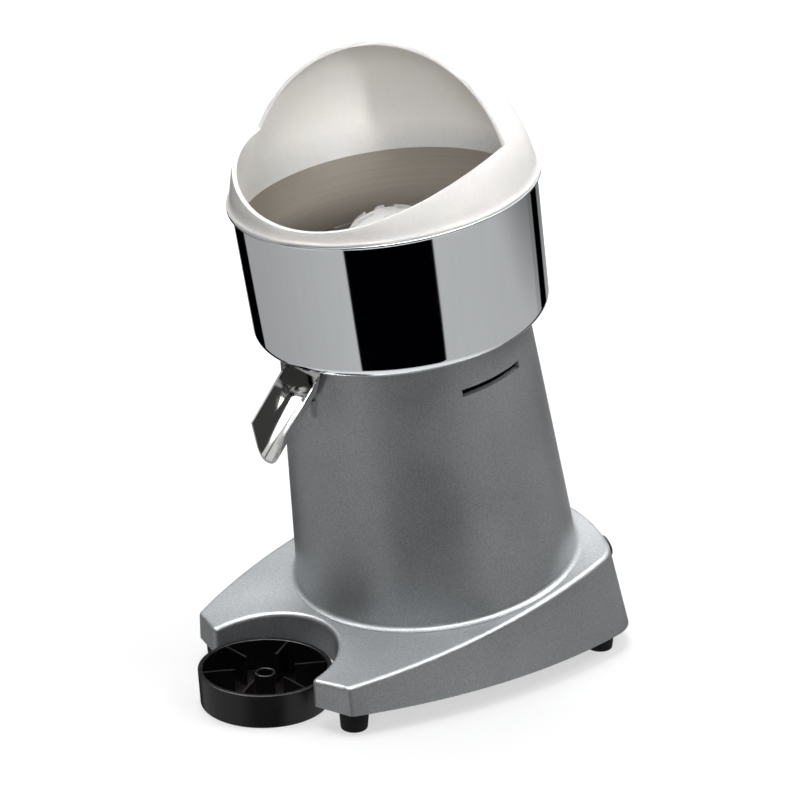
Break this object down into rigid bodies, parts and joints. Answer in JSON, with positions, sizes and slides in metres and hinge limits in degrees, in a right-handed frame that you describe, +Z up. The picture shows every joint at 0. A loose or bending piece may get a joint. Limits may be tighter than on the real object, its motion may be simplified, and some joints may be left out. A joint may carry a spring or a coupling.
{
  "type": "citrus press juicer",
  "caption": "Electric citrus press: leaning cast body on feet, lift-off polished bowl with spout, strainer, ribbed reamer, open domed splash guard and a round drip tray.",
  "frame": {"origin": "on the table, midway between the four feet", "axes": "+Z up, the spout and the drip tray face -Y, +X to the right seen from the front"},
  "size_m": [0.2297, 0.3291, 0.4363],
  "materials": {
    "body_paint": "satin metallic paint",
    "plate_steel": "satin",
    "foot_rubber": "matt",
    "screw_steel": "plain",
    "tray_plastic": "satin",
    "shield_alloy": "cast",
    "core_steel": "stacked sheet",
    "winding_copper": "enamelled",
    "bearing_steel": "ground",
    "fan_plastic": "matt",
    "polished_steel": "mirror polish outside, brushed inside",
    "strainer_steel": "brushed",
    "guard_plastic": "satin",
    "insert_plastic": "matt",
    "switch_plastic": "satin",
    "tab_brass": "plain",
    "gland_plastic": "matt",
    "capacitor_plastic": "matt",
    "block_plastic": "matt"
  },
  "bodies": {
    "base": {"base_casting": "body_paint", "housing": "body_paint", "body_bolts": "screw_steel", "bottom_plate": "plate_steel", "foot_front_left": "foot_rubber", "foot_front_right": "foot_rubber", "foot_rear_left": "foot_rubber", "foot_rear_right": "foot_rubber", "foot_screws": "screw_steel", "upper_end_shield": "shield_alloy", "lower_end_shield": "shield_alloy", "motor_bolts": "screw_steel", "stator_core": "core_steel", "winding_upper": "winding_copper", "winding_lower": "winding_copper", "bearing_upper": "bearing_steel", "bearing_lower": "bearing_steel", "shaft_seal": "foot_rubber", "switch_housing": "switch_plastic", "switch_tabs": "tab_brass", "cable_gland": "gland_plastic", "gland_nut": "gland_plastic", "capacitor": "capacitor_plastic", "capacitor_clip": "screw_steel", "clip_screws": "screw_steel", "terminal_block": "block_plastic", "terminal_screws": "tab_brass", "block_screws": "screw_steel", "earth_screw": "tab_brass"},
    "rotor": {"rotor_core": "core_steel", "motor_shaft": "bearing_steel", "cooling_fan": "fan_plastic", "fan_clip": "screw_steel", "drive_pin": "screw_steel"},
    "bowl": {"bowl": "polished_steel", "bowl_sleeve": "polished_steel", "spout": "polished_steel"},
    "strainer": {"strainer": "strainer_steel"},
    "reamer": {"reamer": "guard_plastic", "reamer_insert": "insert_plastic"},
    "splash_guard": {"splash_guard": "guard_plastic"},
    "drip_tray": {"drip_tray": "tray_plastic"},
    "switch_rocker": {"switch_rocker": "switch_plastic"}
  },
  "joints": [
    {"name": "rotor_spin", "type": "hinge", "parent": "base", "child": "rotor", "pos_m": [0, 0.0445, 0], "axis": [0, -0.1736, 0.9848], "continuous": true},
    {"name": "bowl_lift", "type": "slide", "parent": "base", "child": "bowl", "axis": [0, -0.1736, 0.9848], "range_m": [0, 0.09]},
    {"name": "strainer_lift", "type": "slide", "parent": "bowl", "child": "strainer", "axis": [0, -0.1736, 0.9848], "range_m": [0, 0.1]},
    {"name": "reamer_spin", "type": "hinge", "parent": "strainer", "child": "reamer", "pos_m": [0, 0.0445, 0], "axis": [0, -0.1736, 0.9848], "continuous": true},
    {"name": "guard_lift", "type": "slide", "parent": "strainer", "child": "splash_guard", "axis": [0, -0.1736, 0.9848], "range_m": [0, 0.12]},
    {"name": "tray_slide", "type": "slide", "parent": "base", "child": "drip_tray", "axis": [0, -1, 0], "range_m": [0, 0.12]},
    {"name": "rocker_tilt", "type": "hinge", "parent": "base", "child": "switch_rocker", "pos_m": [-0.03841, 0.14157, 0.05335], "axis": [0.9744, 0.2215, 0.0391], "range_deg": [0, 18]}
  ],
  "couplings": [
    {"joint": "reamer_spin", "follows": "rotor_spin", "ratio": 1}
  ]
}
